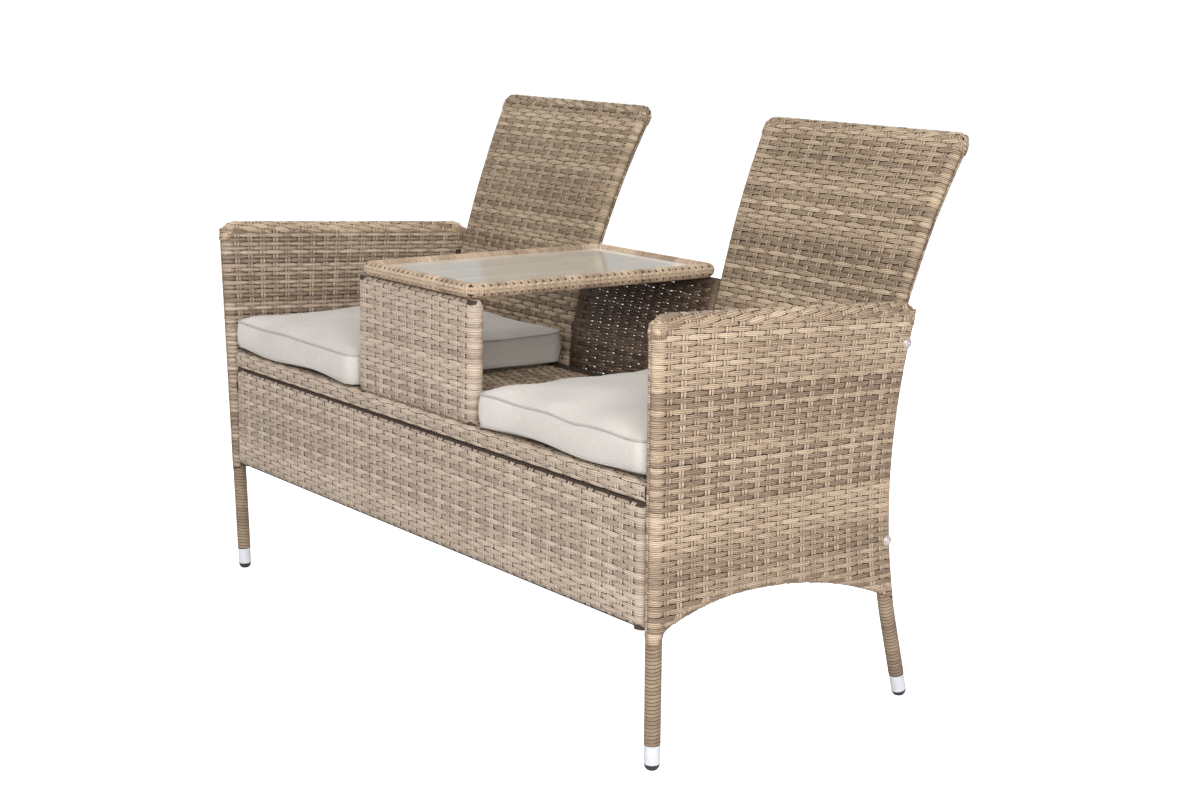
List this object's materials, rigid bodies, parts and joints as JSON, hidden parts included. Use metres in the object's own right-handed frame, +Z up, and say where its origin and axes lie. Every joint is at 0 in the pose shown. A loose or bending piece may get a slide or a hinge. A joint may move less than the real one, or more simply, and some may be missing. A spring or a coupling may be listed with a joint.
{
  "type": "companion seat bench",
  "caption": "Woven rattan-look bench with a seat at each end, a glass-topped table between them, high raked backs and loose seat cushions.",
  "frame": {"origin": "middle of the ground that the bench covers, at floor level", "axes": "+Z up, the open front faces -Y, +X towards the right end for someone facing the bench"},
  "size_m": [1.2706, 0.6294, 0.8702],
  "materials": {
    "rattan_weave": "matt woven strands",
    "frame_steel": "powder coated",
    "black_steel": "satin",
    "bolt_steel": "zinc plated",
    "foot_sleeve": "satin",
    "black_plastic": "matt",
    "clear_rubber": "soft",
    "table_glass": "polished",
    "cushion_cloth": "linen weave"
  },
  "bodies": {
    "bench": {"apron_frame": "frame_steel", "apron_hooks": "black_steel", "apron_weave": "rattan_weave", "glass_bumpers": "clear_rubber", "left_back_frame": "frame_steel", "left_back_weave": "rattan_weave", "left_front_foot_sleeve": "foot_sleeve", "left_front_glide": "black_plastic", "left_front_leg_wrap": "rattan_weave", "left_rear_foot_sleeve": "foot_sleeve", "left_rear_glide": "black_plastic", "left_rear_leg_wrap": "rattan_weave", "left_side_frame": "frame_steel", "left_side_weave": "rattan_weave", "middle_back_frame": "frame_steel", "middle_back_weave": "rattan_weave", "middle_panel_bolts": "bolt_steel", "middle_panel_nuts": "bolt_steel", "right_back_frame": "frame_steel", "right_back_weave": "rattan_weave", "right_front_foot_sleeve": "foot_sleeve", "right_front_glide": "black_plastic", "right_front_leg_wrap": "rattan_weave", "right_rear_foot_sleeve": "foot_sleeve", "right_rear_glide": "black_plastic", "right_rear_leg_wrap": "rattan_weave", "right_side_frame": "frame_steel", "right_side_weave": "rattan_weave", "seat_bolt_nuts": "bolt_steel", "seat_bolt_washers": "bolt_steel", "seat_bolts": "bolt_steel", "seat_frame": "frame_steel", "seat_front_studs": "black_steel", "seat_weave": "rattan_weave", "side_bolt_washers": "bolt_steel", "side_bolts": "bolt_steel", "table_front_frame": "frame_steel", "table_front_weave": "rattan_weave", "table_screws": "bolt_steel", "table_spacers": "black_plastic", "table_top_frame": "frame_steel", "table_top_weave": "rattan_weave"},
    "left_cushion_body": {"left_cushion": "cushion_cloth"},
    "right_cushion_body": {"right_cushion": "cushion_cloth"},
    "glass_body": {"table_glass": "table_glass"}
  },
  "joints": [
    {"name": "left_cushion_lift", "type": "slide", "parent": "bench", "child": "left_cushion_body", "axis": [0, 0, 1], "range_m": [0, 0.3]},
    {"name": "right_cushion_lift", "type": "slide", "parent": "bench", "child": "right_cushion_body", "axis": [0, 0, 1], "range_m": [0, 0.3]},
    {"name": "table_glass_lift", "type": "slide", "parent": "bench", "child": "glass_body", "axis": [0, 0, 1], "range_m": [0, 0.15]}
  ]
}
